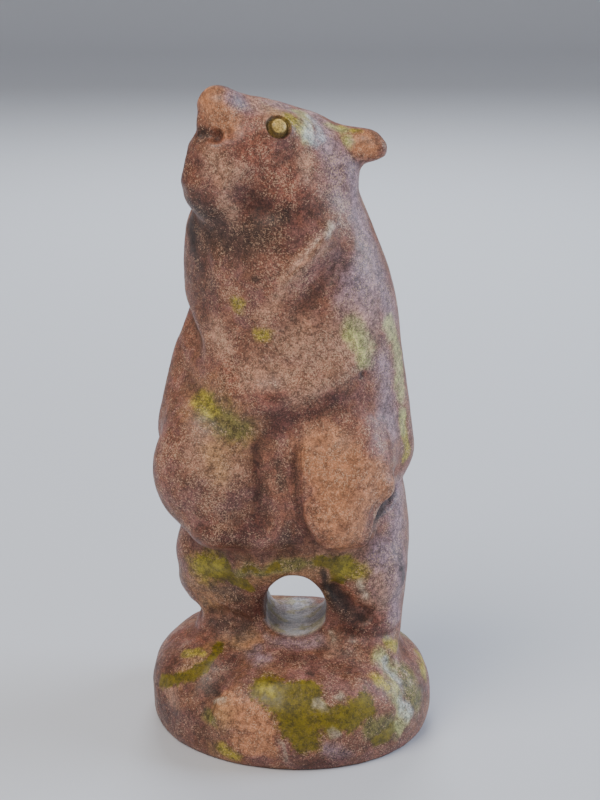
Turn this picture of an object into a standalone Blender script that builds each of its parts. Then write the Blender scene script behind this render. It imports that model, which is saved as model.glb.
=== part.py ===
"""A standing bear carved from one block of speckled stone, together with the round base it stands on.

The carving is blocked out in plain masses, fused into one skin, drilled between the legs, cut with folds
and creases, and trimmed flat below. Metres, +Z up. The bear faces -Y, its left side is +X, and the origin
is in the middle of the base's underside.
"""

import math

import bmesh
import bpy
import numpy as np
from mathutils import Matrix, Vector
from mathutils.bvhtree import BVHTree

# Driving sizes, in metres
FIGURE_HEIGHT = 0.0770  # from the base's crown to the tip of the raised nose
BASE_LENGTH = 0.0416  # along its longest line, from its front left to its back right
BASE_BREADTH = 0.0388
BASE_HEIGHT = 0.0145  # at the crown, in the middle of its rounded top
LEG_GAP_WIDTH = 0.0089  # the hole drilled between the legs
LEG_GAP_HEIGHT = 0.0104
EYE_WIDTH = 0.0034  # across the drilled ring
EYE_GROOVE = 0.0007  # width of the ring's groove

# How finely the stone is worked
BLOCK_GRAIN = 0.0006  # spacing of the skin that fuses the masses, in metres
BLOCK_SOFTENING = 14  # passes that round off the creases between the masses
SKIN_GRAIN = 0.00048  # spacing of the skin that is carved
SKIN_SOFTENING = 6
CUT_SOFTENING = 2  # passes that take the tool marks off the folds and creases
PASS_STRENGTH = 0.5  # how far each pass moves a point toward the middle of its neighbours
FINE_REACH = 0.8 * EYE_WIDTH  # from the middle of an eye or a nostril, how far the skin keeps its grain
TRIANGLES = 8800  # faces left on the solid before its eyes are drilled and its underside is cut

# The plain colour that stands in for the finish
STONE_COLOUR = (0.235, 0.125, 0.095, 1.0)
STONE_ROUGHNESS = 0.38

# The figure's own unit: it stands 77 units above its base, so a unit is 1 mm on the real carving.
UNIT = FIGURE_HEIGHT / 77

# The trunk is lofted through level sections: up, centre to its left, centre back, half width, half depth.
TRUNK = (
    (-6.0, 1.6, -0.4, 14.4, 7.0),
    (0.0, 1.5, -0.4, 14.4, 7.2),
    (5.0, 0.5, 0.0, 16.1, 8.8),
    (10.0, 0.7, 0.5, 16.1, 11.4),
    (14.0, 0.7, 0.4, 16.3, 12.4),
    (20.5, 0.5, 0.0, 15.8, 12.9),
    (28.5, 0.1, 0.0, 15.2, 12.6),
    (37.5, 0.2, 0.3, 15.3, 12.4),
    (45.5, 0.2, 0.3, 14.8, 12.0),
    (51.0, -0.4, 0.0, 14.2, 11.8),
    (55.5, -1.1, -0.3, 13.2, 11.4),
    (60.5, -1.5, -0.6, 11.6, 10.6),
    (65.5, -0.6, -0.6, 8.5, 8.5),
)
RING_SIDES = 48
RINGS_PER_SECTION = 4

# Sides and levels of the balls that masses and limbs are made of
BALL_SIDES = 32
BALL_LEVELS = 20
LIMB_SIDES = 24
LIMB_LEVELS = 16

# Rounded masses added to the trunk: centre, then half sizes, as (to its left, back, up).
MASSES = {
    "chest": ((-1.0, -3.2, 35.0), (11.0, 10.4, 7.8)),
    "right_paw": ((-8.6, -8.6, 24.4), (8.8, 6.4, 9.6)),
    "tail": ((0.2, 12.2, 14.0), (2.6, 2.6, 3.4)),
    "left_thigh": ((10.6, -2.6, 10.0), (6.8, 6.8, 7.5)),
    "right_thigh": ((-8.8, -1.6, 10.5), (7.4, 7.0, 7.0)),
}

# Limbs under the skin: the two ends, each with its radius.
LIMBS = {
    "left_upper_arm": (((10.6, 0.5, 39.5), 5.2), ((12.4, 0.8, 26.2), 5.2)),
    "left_forearm": (((11.8, -1.0, 27.5), 5.0), ((10.2, -6.0, 27.2), 5.6)),
    "right_upper_arm": (((-11.2, -0.5, 38.5), 5.2), ((-12.3, -2.5, 28.6), 6.0)),
    "right_forearm": (((-11.6, -3.0, 31.0), 5.6), ((-9.8, -7.4, 28.4), 6.4)),
    "right_claws": (((-9.4, -9.6, 20.2), 4.4), ((-8.0, -10.0, 17.8), 4.4)),
    "left_foot": (((11.2, -2.0, 3), 5.4), ((11.2, -4.0, -3), 5.2)),
    "right_foot": (((-8.6, -1.0, 3.0), 5.6), ((-6.4, -3.0, -3), 5.0)),
}

# Limbs that stand proud of the skin, added once it has been softened.
PROUD_LIMBS = {
    "left_paw": (((9.8, -6.2, 27.0), 6.3), ((8.4, -9.4, 19.6), 5.2)),
    "left_paw_edge": (((5.9, -9.4, 27.6), 3.5), ((6.2, -10.6, 20.0), 3.6)),
    "left_upper_claw": (((11.0, -7.4, 25.4), 4.4), ((14.0, -8.0, 23.6), 2.4)),
    "left_lower_claw": (((9.6, -8.8, 19.4), 4.4), ((11.6, -9.4, 17.4), 2.5)),
}

# The head sits on the neck, turned to the bear's right and lifted.
HEAD_PLACE = (-0.6, -0.6, 64.5)
HEAD_TURN = math.radians(43)
HEAD_LIFT = math.radians(15)

# Masses of the head, in its own frame: centre, then half sizes, as (left, ahead, up).
HEAD = {
    "skull": ((0, -1.0, 0.4), (9.0, 9.0, 8.3)),
    "muzzle": ((0, 6.3, 0.6), (6.9, 8.6, 7.2)),
    "chin": ((-0.3, 9.3, -4.1), (5.7, 5.8, 4.6)),
}
NOSE = ((0, 12.1, 6.2), (3.3, 3.1, 3.2))
BRIDGE = (((0, 1.0, 5.5), 3.4), ((0, 11.0, 6.4), 2.9))

# The same for the masses that come in pairs, one on each side.
HEAD_PAIRS = {
    "cheek": ((4.8, 1.5, -2.5), (4.4, 6.0, 6.0)),
    "brow": ((4.3, 4.0, 4.2), (3.5, 6.6, 3.6)),
    "nape": ((5.4, -3.5, 0.0), (4.4, 4.2, 6.5)),
}

# Each ear runs through three balls, from its root to its tip, and swells out of the skin at its root.
EAR = (((4.6, -5.3, 5.0), 2.7), ((8.2, -6.5, 5.6), 2.3), ((10.2, -7.0, 5.5), 1.4))
EAR_SWELL = (((3.0, -4.6, 3.6), 4.2), ((6.2, -6.0, 4.8), 2.1))

# Base
BASE_FULLNESS = 2.6  # 2 gives an egg-shaped base, and more makes its wall steeper
BASE_BULGE_AT = 0.28  # share of the base's height at which it is widest
BASE_FOOT = 0.955  # share of its width that meets the table
BASE_TURN = math.radians(-33)  # of its longest line, from the bear's left
BASE_STEPS = 32
BASE_SIDES = 64
FLOOR_BLOCK_SHARE = 3  # side of the block that cuts the underside flat, to the base's length

# The hole between the legs
GAP_PLACE = (1.05, 0, 4.92)  # its middle
GAP_TURN = math.radians(10)  # of its front toward the bear's left
GAP_DIP = math.radians(3)  # of its back below its front
GAP_TAPER = 0.16  # how much narrower it is at its top, and wider at its foot
GAP_FOOT = 0.7  # power of the width below its middle: 1 gives an oval foot, and less a squarer one
GAP_FLARE = 0.1  # how much wider the drill is at its back end, and narrower at its front end
GAP_LENGTH = 60
GAP_SIDES = 32

EYE_RISE = 0.4  # of the round eye above the skin
EYE_RING_SIDES = 28
EYE_GROOVE_SIDES = 8

# Cuts and ridges on the body: a path of (bearing, up) places, half the stroke's width, and its depth.
# A bearing is in degrees about the upright, 0 in front and 90 at the bear's left. A ridge has a depth
# below 0.
BODY_STROKES = {
    "neck_ridge": (((42, 58.6), (23, 54.5), (4, 50.6)), 1.6, -0.5),
    "throat_ridge": (((8, 54.3), (-1, 52.6), (-9, 50.7)), 1.0, -0.3),
    "shoulder_groove": (((56, 57.6), (45, 54.6), (34, 52.0), (23, 48.5), (8, 43.6)), 2.2, 0.9),
    "chest_fold": (((-12, 35.2), (13, 37.0), (38, 38.6), (58, 41.6)), 3.2, -0.7),
    "chest_crease": (
        ((-12, 32.0), (0, 32.4), (13, 33.6), (26, 34.1), (40, 34.9), (50, 36.1), (60, 38.6)),
        2.6,
        0.7,
    ),
    "right_shoulder_crease": (((-92, 46.4), (-72, 44.4), (-54, 40.6)), 2.6, 1.2),
    "belly_groove": (((-4, 32.0), (-5, 28.0), (-4, 23.0), (-5, 16.5)), 1.8, 0.6),
    "belly_fold": (((18, 24.3), (9, 20.0), (2, 15.6)), 1.4, -0.35),
    "skirt": (((-40, 16.6), (-22, 16.2), (0, 16.6), (16, 17.4)), 2.6, -0.6),
    "skirt_crease": (((-66, 13.4), (-40, 12.6), (-15, 12.6), (4, 13.2), (26, 14.6)), 2.2, 0.8),
    "left_elbow_crease": (((66, 20.2), (84, 21.4), (100, 21.6), (116, 23.2)), 1.4, 0.3),
    "right_elbow_crease": (((-84, 18.6), (-100, 20.6), (-118, 23.0)), 1.8, 0.5),
    "left_shin_groove": (((38, 9.8), (47, 7.4), (55, 5.2), (64, 4.4)), 1.3, 0.9),
    "left_shin_pit": (((59, 4.6),), 1.3, 0.8),
    "right_thigh_groove": (((-30, 9.0), (-44, 8.2), (-58, 8.6)), 1.8, 0.45),
    "throat_ridge_right": (((-40, 56.5), (-38, 53.6), (-37, 50.0)), 1.0, -0.3),
    "throat_ridge_left": (((-20, 55.0), (-20, 50.4)), 1.0, -0.3),
    "left_back_crease": (((128, 42), (138, 34), (146, 26)), 2.4, 0.6),
    "right_back_crease": (((-128, 42), (-138, 34), (-146, 26)), 2.4, 0.6),
    "spine": (((176, 50), (180, 40), (183, 28), (180, 18)), 2.6, 0.5),
    "left_haunch_crease": (((112, 16), (132, 13), (150, 8)), 2.2, 0.6),
    "right_haunch_crease": (((-112, 16), (-132, 13), (-150, 8)), 2.2, 0.6),
    "base_groove": (((-17, 0.0), (-20, -2.0), (-24, -5.4), (-28, -10.0)), 2.0, 0.55),
}

# The same on the head, along (turn, lift) places seen from its middle. Those of the pairs are cut on both
# sides.
HEAD_STROKES = {
    "philtrum": (((1, 14), (3, 6)), 1.1, 1.1),
    "brow_groove": (((0, 52), (0, 36)), 2.0, 0.35),
}
HEAD_STROKE_PAIRS = {
    "nostril": (((8, 12), (12, 11)), 1.4, 1.5),
    "nose_pit": (((19, 15),), 1.0, 0.8),
    "mouth": (((2, -23), (7, -21), (13, -21), (17, -25), (17, -38)), 1.2, 0.4),
    "chin_hollow": (((9, -29), (13, -36)), 2.6, 0.3),
    "jaw_recess": (((29, -15), (31, -24), (37, -31), (47, -32)), 2.8, 0.65),
    "eye": (((45, 31),), EYE_WIDTH / UNIT / 2, -EYE_RISE),
}
STROKE_STEP = 0.4  # spacing of the places along a stroke
STROKE_START = 0.1  # share of its depth at which a stroke begins and ends
STROKE_RUN_IN = 0.225  # share of its length over which it comes to its full depth


def figure_point(place):
    """A place on the figure, given in units above the base's crown, as a point in metres."""
    left, back, up = place
    return Vector((left * UNIT, back * UNIT, BASE_HEIGHT + up * UNIT))


def head_matrix():
    """The head's own frame, in the carving's: turned about the upright, then lifted about its own side."""
    turn = Matrix.Rotation(-HEAD_TURN, 4, "Z") @ Matrix.Rotation(-HEAD_LIFT, 4, "X")
    return Matrix.Translation(figure_point(HEAD_PLACE)) @ turn


def head_point(place, side=1):
    """A place on the head, given in its own frame, as a point in metres; side -1 mirrors it."""
    left, ahead, up = place
    return head_matrix() @ Vector((side * left * UNIT, -ahead * UNIT, up * UNIT))


def add_ball(stone, centre, sizes, turn=Matrix.Identity(4)):
    """An egg-shaped mass with the given half sizes, in units, about a centre in metres."""
    place = Matrix.Translation(centre) @ turn @ Matrix.Diagonal((*(size * UNIT for size in sizes), 1.0))
    bmesh.ops.create_uvsphere(stone, u_segments=BALL_SIDES, v_segments=BALL_LEVELS, radius=1.0, matrix=place)


def add_limb(stone, start, start_radius, end, end_radius):
    """A tapering limb: the hull of two balls."""
    balls = []
    for centre, radius in ((start, start_radius), (end, end_radius)):
        place = Matrix.Translation(centre) @ Matrix.Scale(radius * UNIT, 4)
        ball = bmesh.ops.create_uvsphere(
            stone, u_segments=LIMB_SIDES, v_segments=LIMB_LEVELS, radius=1.0, matrix=place
        )
        balls += ball["verts"]
    for face in {face for vert in balls for face in vert.link_faces}:
        stone.faces.remove(face)
    hull = bmesh.ops.convex_hull(stone, input=balls)
    inside = [item for item in hull["geom_interior"] if isinstance(item, bmesh.types.BMVert)]
    bmesh.ops.delete(stone, geom=inside, context="VERTS")


def add_loft(stone, rings):
    """A closed skin over rings of points that all have the same number of sides."""
    made = [[stone.verts.new(point) for point in ring] for ring in rings]
    for lower, upper in zip(made, made[1:]):
        for side in range(len(lower)):
            after = (side + 1) % len(lower)
            stone.faces.new((lower[side], lower[after], upper[after], upper[side]))
    stone.faces.new(made[0][::-1])
    stone.faces.new(made[-1])


def oval(half_width, half_depth, sides):
    """The corners of an oval about the origin, as pairs."""
    turns = [2 * math.pi * side / sides for side in range(sides)]
    return [(half_width * math.cos(turn), half_depth * math.sin(turn)) for turn in turns]


def smooth_through(rows, position):
    """The row at a fractional position along rows, on a smooth curve through them."""
    index = min(int(position), len(rows) - 2)
    share = position - index
    before, start, end, after = (rows[min(max(index + step, 0), len(rows) - 1)] for step in (-1, 0, 1, 2))
    row = []
    for a, b, c, d in zip(before, start, end, after):
        bend = (2 * a - 5 * b + 4 * c - d) * share**2
        twist = (3 * b - a - 3 * c + d) * share**3
        row.append(0.5 * (2 * b + (c - a) * share + bend + twist))
    return row


def add_trunk(stone):
    rings = []
    for step in range((len(TRUNK) - 1) * RINGS_PER_SECTION + 1):
        up, left, back, half_width, half_depth = smooth_through(TRUNK, step / RINGS_PER_SECTION)
        corners = oval(half_width, half_depth, RING_SIDES)
        rings.append([figure_point((left + x, back + y, up)) for x, y in corners])
    add_loft(stone, rings)


def add_base(stone):
    """The rounded base, which runs a little below the floor, to be cut flat there."""
    turn = Matrix.Rotation(BASE_TURN, 3, "Z")
    widest_at = BASE_HEIGHT * BASE_BULGE_AT
    above = BASE_HEIGHT - widest_at
    below = widest_at / (1 - BASE_FOOT**BASE_FULLNESS) ** (1 / BASE_FULLNESS)
    ball = bmesh.ops.create_uvsphere(stone, u_segments=BASE_SIDES, v_segments=BASE_STEPS, radius=1.0)
    for vert in ball["verts"]:
        x, y, up = vert.co
        across = math.hypot(x, y)
        fuller = (across**BASE_FULLNESS + abs(up) ** BASE_FULLNESS) ** (-1 / BASE_FULLNESS)
        height = widest_at + up * fuller * (above if up > 0 else below)
        vert.co = turn @ Vector((x * fuller * BASE_LENGTH / 2, y * fuller * BASE_BREADTH / 2, height))


def add_ear(stone, balls, side):
    for (start, start_radius), (end, end_radius) in zip(balls, balls[1:]):
        add_limb(stone, head_point(start, side), start_radius, head_point(end, side), end_radius)


def add_head(stone):
    turn = head_matrix().to_3x3().to_4x4()
    for centre, sizes in HEAD.values():
        add_ball(stone, head_point(centre), sizes, turn)
    (back, back_radius), (front, front_radius) = BRIDGE
    add_limb(stone, head_point(back), back_radius, head_point(front), front_radius)
    for side in (-1, 1):
        for centre, sizes in HEAD_PAIRS.values():
            add_ball(stone, head_point(centre, side), sizes, turn)
        add_ear(stone, EAR_SWELL, side)


def add_limbs(stone, limbs):
    for (start, start_radius), (end, end_radius) in limbs.values():
        add_limb(stone, figure_point(start), start_radius, figure_point(end), end_radius)


def add_proud_parts(stone):
    """The nose, ears and paws, which keep a crease where they meet the skin."""
    turn = head_matrix().to_3x3().to_4x4()
    add_ball(stone, head_point(NOSE[0]), NOSE[1], turn)
    for side in (-1, 1):
        add_ear(stone, EAR, side)
    add_limbs(stone, PROUD_LIMBS)


def linked(name, mesh):
    shape = bpy.data.objects.new(name, mesh)
    bpy.context.scene.collection.objects.link(shape)
    return shape


def worked(shape):
    """The mesh that an object's modifiers give; the object itself is removed."""
    depsgraph = bpy.context.evaluated_depsgraph_get()
    result = bpy.data.meshes.new_from_object(shape.evaluated_get(depsgraph))
    bpy.data.objects.remove(shape)
    return result


def to_mesh(stone):
    bmesh.ops.recalc_face_normals(stone, faces=stone.faces)
    mesh = bpy.data.meshes.new("stone")
    stone.to_mesh(mesh)
    stone.free()
    return mesh


def fused(stone, grain, smoothing, cutter=None):
    """The overlapping masses as one skin, softened where they meet."""
    shape = linked("masses", to_mesh(stone))
    skin = shape.modifiers.new("skin", "REMESH")
    skin.mode = "VOXEL"
    skin.voxel_size = grain
    if cutter:
        drill = shape.modifiers.new("drill", "BOOLEAN")
        drill.operation = "DIFFERENCE"
        drill.solver = "EXACT"
        drill.object = cutter
        again = shape.modifiers.new("skin again", "REMESH")
        again.mode = "VOXEL"
        again.voxel_size = grain
    soften = shape.modifiers.new("soften", "SMOOTH")
    soften.factor = PASS_STRENGTH
    soften.iterations = smoothing
    return worked(shape)


def leg_gap_drill():
    """The long egg-shaped cutter that leaves the hole between the legs."""
    stone = bmesh.new()
    back, front = 1 + GAP_FLARE, 1 - GAP_FLARE
    bmesh.ops.create_cone(
        stone, cap_ends=True, segments=GAP_SIDES, radius1=back, radius2=front, depth=1.0
    )
    for vert in stone.verts:
        across, up = vert.co.x, vert.co.y
        if up < 0:
            across = math.copysign(abs(across) ** GAP_FOOT, across)
        vert.co.x = across * (1 - GAP_TAPER * up)
    lie_down = Matrix.Rotation(math.radians(90), 4, "X")
    shape = Matrix.Diagonal((LEG_GAP_WIDTH / 2, GAP_LENGTH * UNIT, LEG_GAP_HEIGHT / 2, 1.0))
    turned = Matrix.Rotation(GAP_TURN, 4, "Z") @ Matrix.Rotation(-GAP_DIP, 4, "X")
    stone.transform(Matrix.Translation(figure_point(GAP_PLACE)) @ turned @ shape @ lie_down)
    return linked("drill", to_mesh(stone))


def on_body(tree, bearing, up):
    """Where a level line toward the figure's middle meets the skin."""
    angle = math.radians(bearing)
    outward = Vector((math.sin(angle), -math.cos(angle), 0))
    return tree.ray_cast(figure_point((0, 0, up)) + outward * FIGURE_HEIGHT, -outward)[0]


def on_head(tree, turn, lift, side):
    """Where a line toward the head's middle meets the skin; side -1 mirrors it."""
    turn, lift = math.radians(turn), math.radians(lift)
    along = (math.sin(turn) * math.cos(lift), math.cos(turn) * math.cos(lift), math.sin(lift))
    outward = (head_point(along, side) - head_point((0, 0, 0))).normalized()
    return tree.ray_cast(head_point((0, 0, 0)) + outward * FIGURE_HEIGHT, -outward)[0]


def pair_place(name, tree, side):
    """Where a stroke of a pair begins, on one side of the head."""
    path = HEAD_STROKE_PAIRS[name][0]
    return on_head(tree, *path[0], side)


def stroke_places(path, place_on_skin):
    """Places on the skin along a stroke, close together, each with how far the tool has come in there."""
    if len(path) == 1:
        return [(place_on_skin(*path[0]), 1.0)]
    rough = [place_on_skin(*row) for row in path]
    length = sum((end - start).length for start, end in zip(rough, rough[1:]))
    steps = max(2, round(length / (STROKE_STEP * UNIT)))
    places = []
    for step in range(steps + 1):
        share = step / steps
        place = place_on_skin(*smooth_through(path, share * (len(path) - 1)))
        run_in = min(share, 1 - share) / STROKE_RUN_IN
        places.append((place, min(1.0, STROKE_START + (1 - STROKE_START) * run_in)))
    return places


def skin_tree(mesh):
    points = [vert.co for vert in mesh.vertices]
    return BVHTree.FromPolygons(points, [face.vertices for face in mesh.polygons])


def carve(mesh, tree):
    """Presses the folds and creases into the skin, each deepest along its path.

    The tree is the plain skin's.
    """
    count = len(mesh.vertices)
    points, normals = np.empty(count * 3), np.empty(count * 3)
    mesh.vertices.foreach_get("co", points)
    mesh.vertices.foreach_get("normal", normals)
    points, normals = points.reshape(-1, 3), normals.reshape(-1, 3)
    strokes = [(stroke, lambda *row: on_body(tree, *row)) for stroke in BODY_STROKES.values()]
    strokes += [(stroke, lambda *row: on_head(tree, *row, 1)) for stroke in HEAD_STROKES.values()]
    for stroke in HEAD_STROKE_PAIRS.values():
        strokes += [(stroke, lambda *row, side=side: on_head(tree, *row, side)) for side in (-1, 1)]
    moved = np.zeros(count)
    for (path, half_width, depth), place_on_skin in strokes:
        pressed = np.zeros(count)
        for place, share in stroke_places(path, place_on_skin):
            away = np.linalg.norm(points - place, axis=1) / (half_width * UNIT)
            near = np.clip(1 - away**2, 0, None) ** 2
            pressed = np.maximum(pressed, share * near)
        moved += pressed * depth * UNIT
    points -= normals * moved[:, None]
    mesh.vertices.foreach_set("co", points.ravel())
    mesh.update()


def thinned(mesh, fine_places):
    """The same skin rubbed down and in fewer faces, most of them where it bends and about the fine places."""
    shape = linked("thinning", mesh)
    kept = []
    for vert in mesh.vertices:
        if min((vert.co - place).length for place in fine_places) < FINE_REACH:
            kept.append(vert.index)
    fine = shape.vertex_groups.new(name="kept fine")
    fine.add(kept, 1.0, "REPLACE")
    rub = shape.modifiers.new("rub down", "SMOOTH")
    rub.factor = PASS_STRENGTH
    rub.iterations = CUT_SOFTENING
    fewer = shape.modifiers.new("fewer", "DECIMATE")
    fewer.ratio = TRIANGLES / sum(len(face.vertices) - 2 for face in mesh.polygons)
    fewer.vertex_group = fine.name
    fewer.invert_vertex_group = True
    return worked(shape)


def eye_ring(tree, side):
    """The hollow drill that leaves a round eye standing in its groove; the tree is the plain skin's."""
    place = pair_place("eye", tree, side)
    outward = tree.find_nearest(place)[1]
    bpy.ops.mesh.primitive_torus_add(
        location=place,
        rotation=outward.to_track_quat("Z", "Y").to_euler(),
        major_segments=EYE_RING_SIDES,
        minor_segments=EYE_GROOVE_SIDES,
        major_radius=(EYE_WIDTH - EYE_GROOVE) / 2,
        minor_radius=EYE_GROOVE / 2,
    )
    ring = bpy.context.active_object
    ring.name = "eye_ring_left" if side > 0 else "eye_ring_right"
    return ring


def floor_block():
    """Everything below the table's level."""
    size = FLOOR_BLOCK_SHARE * BASE_LENGTH
    bpy.ops.mesh.primitive_cube_add(size=size, location=(0, 0, -size / 2))
    block = bpy.context.active_object
    block.name = "floor_block"
    return block


def stone_material():
    """Pinkish brown stone with a satin polish."""
    stone = bpy.data.materials.new("speckled stone")
    stone.use_nodes = True
    surface = stone.node_tree.nodes["Principled BSDF"]
    surface.inputs["Base Color"].default_value = STONE_COLOUR
    surface.inputs["Roughness"].default_value = STONE_ROUGHNESS
    surface.inputs["Metallic"].default_value = 0.0
    return stone


def new_collection(name):
    made = bpy.data.collections.new(name)
    bpy.context.scene.collection.children.link(made)
    return made


def move_to(shape, collection):
    for old in list(shape.users_collection):
        old.objects.unlink(shape)
    collection.objects.link(shape)


def main():
    for old in list(bpy.data.objects):
        bpy.data.objects.remove(old)
    stone = bmesh.new()
    add_base(stone)
    add_trunk(stone)
    add_limbs(stone, LIMBS)
    for centre, sizes in MASSES.values():
        add_ball(stone, figure_point(centre), sizes)
    add_head(stone)
    drill = leg_gap_drill()
    skin = fused(stone, BLOCK_GRAIN, BLOCK_SOFTENING, drill)
    bpy.data.objects.remove(drill)
    stone = bmesh.new()
    stone.from_mesh(skin)
    add_proud_parts(stone)
    skin = fused(stone, SKIN_GRAIN, SKIN_SOFTENING)
    tree = skin_tree(skin)
    carve(skin, tree)
    cutters = [floor_block(), eye_ring(tree, 1), eye_ring(tree, -1)]
    fine_places = [pair_place(name, tree, side) for name in ("eye", "nostril") for side in (-1, 1)]
    bear = linked("bear_carving", thinned(skin, fine_places))
    for number, cutter in enumerate(cutters):
        cut = bear.modifiers.new(f"cut {number}", "BOOLEAN")
        cut.operation = "DIFFERENCE"
        cut.solver = "EXACT"
        cut.object = cutter
    bear.data.materials.append(stone_material())
    parts, tools = new_collection("bear carving"), new_collection("cutters")
    move_to(bear, parts)
    for cutter in cutters:
        cutter.hide_render = True
        cutter.display_type = "WIRE"
        move_to(cutter, tools)


main()
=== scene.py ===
# %% [markdown]
# # A standing bear, carved from one speckled stone
#
# The real carving is about as tall as a finger is long: a bear on its hind legs, its head lifted
# and turned to its right, on a low rounded base that belongs to the same block. The stone is a
# dusty pink-brown rock, full of fine pale grains, with olive, pale green and orange patches. The
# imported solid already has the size, the pose and the main folds, so this file has two jobs: a skin
# fine enough for the eyes, the nostrils and the claws, and a stone that looks quarried rather than
# painted.
#
# Everything is in metres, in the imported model's own frame: the bear faces -Y and its left side is
# +X.

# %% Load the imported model
import math

import bmesh
import bpy
import numpy as np
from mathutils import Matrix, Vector, noise
from mathutils.bvhtree import BVHTree


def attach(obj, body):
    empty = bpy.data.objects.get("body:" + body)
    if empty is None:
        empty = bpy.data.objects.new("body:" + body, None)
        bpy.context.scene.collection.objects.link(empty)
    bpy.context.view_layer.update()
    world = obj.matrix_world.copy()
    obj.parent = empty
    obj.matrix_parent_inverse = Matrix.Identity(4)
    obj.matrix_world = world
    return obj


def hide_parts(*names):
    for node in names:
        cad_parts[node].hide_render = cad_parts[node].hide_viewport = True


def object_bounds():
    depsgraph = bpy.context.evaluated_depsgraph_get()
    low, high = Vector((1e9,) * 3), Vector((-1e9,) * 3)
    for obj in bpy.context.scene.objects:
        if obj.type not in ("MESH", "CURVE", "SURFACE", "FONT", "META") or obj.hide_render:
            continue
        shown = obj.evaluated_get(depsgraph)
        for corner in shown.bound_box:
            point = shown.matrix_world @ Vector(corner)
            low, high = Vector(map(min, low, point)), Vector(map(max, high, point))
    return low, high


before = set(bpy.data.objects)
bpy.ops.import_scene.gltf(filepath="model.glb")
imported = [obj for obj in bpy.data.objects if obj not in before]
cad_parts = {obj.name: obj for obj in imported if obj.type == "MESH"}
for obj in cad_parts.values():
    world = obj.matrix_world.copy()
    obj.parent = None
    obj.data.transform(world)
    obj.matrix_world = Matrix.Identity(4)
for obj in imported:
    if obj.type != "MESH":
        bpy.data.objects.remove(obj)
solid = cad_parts["bear_carving"]
cad_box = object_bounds()
MM = 0.001
print("the solid stands", round((cad_box[1].z - cad_box[0].z) / MM, 1), "mm tall")

# %% [markdown]
# ## The camera
# The carving was looked at from close by and a little above, from slightly to its left. A close
# camera sees the base more from above than the head, so the distance matters as much as the angle:
# a camera that is further off, with a longer lens, would show a flatter base.

# %% Place the camera
VIEW_TURN = math.radians(12)
VIEW_PITCH = math.radians(15.74)
VIEW_DISTANCE = 270 * MM
VIEW_HEIGHT = 123 * MM
VIEW_SIDESTEP = 1.45 * MM
FOCAL_LENGTH = 91.035

to_camera = Vector((math.sin(VIEW_TURN), -math.cos(VIEW_TURN), 0))
to_right = Vector((math.cos(VIEW_TURN), math.sin(VIEW_TURN), 0))
line_of_sight = -to_camera * math.cos(VIEW_PITCH) - Vector((0, 0, math.sin(VIEW_PITCH)))

camera = bpy.data.objects.new("camera", bpy.data.cameras.new("camera"))
camera.data.sensor_width = 36
camera.data.lens = FOCAL_LENGTH
camera.data.clip_start = 10 * MM
camera.location = to_camera * VIEW_DISTANCE + to_right * VIEW_SIDESTEP + Vector((0, 0, VIEW_HEIGHT))
camera.rotation_euler = line_of_sight.to_track_quat("-Z", "Y").to_euler()
bpy.context.scene.collection.objects.link(camera)
bpy.context.scene.camera = camera
print("the camera looks down", round(math.degrees(VIEW_PITCH), 1), "degrees")

# %% [markdown]
# ## An even skin
# The solid has few, large facets, as a part for physics should. Subdividing it would only make
# smaller copies of those facets. A voxel remesh instead covers the same form with small, even
# squares, which take fine carving the same way everywhere. The squares are a little under half a
# millimetre, the size of the finer tool marks, which keeps the whole carving under two hundred
# thousand triangles.

# %% Cover the solid with an even skin
SKIN_STEP = 0.4 * MM


def worked(shape):
    """The mesh that an object's modifiers give."""
    depsgraph = bpy.context.evaluated_depsgraph_get()
    return bpy.data.meshes.new_from_object(shape.evaluated_get(depsgraph))


bear = bpy.data.objects.new("carved_bear", solid.data.copy())
bpy.context.scene.collection.objects.link(bear)
even = bear.modifiers.new("even skin", "REMESH")
even.mode = "VOXEL"
even.voxel_size = SKIN_STEP
skin = worked(bear)
bear.modifiers.clear()
bear.data = skin
print("the even skin has", len(skin.polygons), "faces")

# %% [markdown]
# ## Rubbing down
# A carver grinds the facets away without grinding the bear smaller. Moving each point toward the
# middle of its neighbours flattens the facets, but it shrinks thin parts such as the ears. So each
# pass in is followed by a slightly longer pass out: bumps the size of a facet go, and the form
# keeps its size.

# %% Helpers that read, write and rub a skin
def read_points(mesh):
    flat = np.empty(len(mesh.vertices) * 3)
    mesh.vertices.foreach_get("co", flat)
    return flat.reshape(-1, 3)


def read_normals(mesh):
    flat = np.empty(len(mesh.vertices) * 3)
    mesh.vertices.foreach_get("normal", flat)
    return flat.reshape(-1, 3)


def write_points(mesh, points):
    mesh.vertices.foreach_set("co", points.ravel())
    mesh.update()


def edge_ends(mesh):
    flat = np.empty(len(mesh.edges) * 2, dtype=int)
    mesh.edges.foreach_get("vertices", flat)
    return flat.reshape(-1, 2)


def neighbour_mean(values, edges):
    """For every point, the mean of the values at the points that share an edge with it."""
    count = np.bincount(edges.ravel(), minlength=len(values))
    columns = []
    for column in values.T:
        total = np.bincount(edges[:, 0], column[edges[:, 1]], len(values))
        total += np.bincount(edges[:, 1], column[edges[:, 0]], len(values))
        columns.append(total / np.maximum(count, 1))
    return np.stack(columns, axis=1)


def rubbed(points, edges, rounds, inward=0.5, outward=-0.53):
    for _ in range(rounds):
        for step in (inward, outward):
            points = points + step * (neighbour_mean(points, edges) - points)
    return points


print("the skin has", len(edge_ends(skin)), "edges to rub along")

# %% Rub the facets away
FACET_ROUNDS = 30

write_points(skin, rubbed(read_points(skin), edge_ends(skin), FACET_ROUNDS))
print("rubbed", FACET_ROUNDS, "times in and out")

# %% [markdown]
# ## Finding places on the skin
# The fine carving needs places that stay true if the form changes a little. A bearing about the
# upright and a height above the table name a place on a standing figure well, because a level line
# toward the middle meets the skin there. The head faces 43 degrees to the bear's right, so what is
# carved on its left cheek is mirrored across the head's own middle plane for the side that the
# camera doesn't see.

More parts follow.
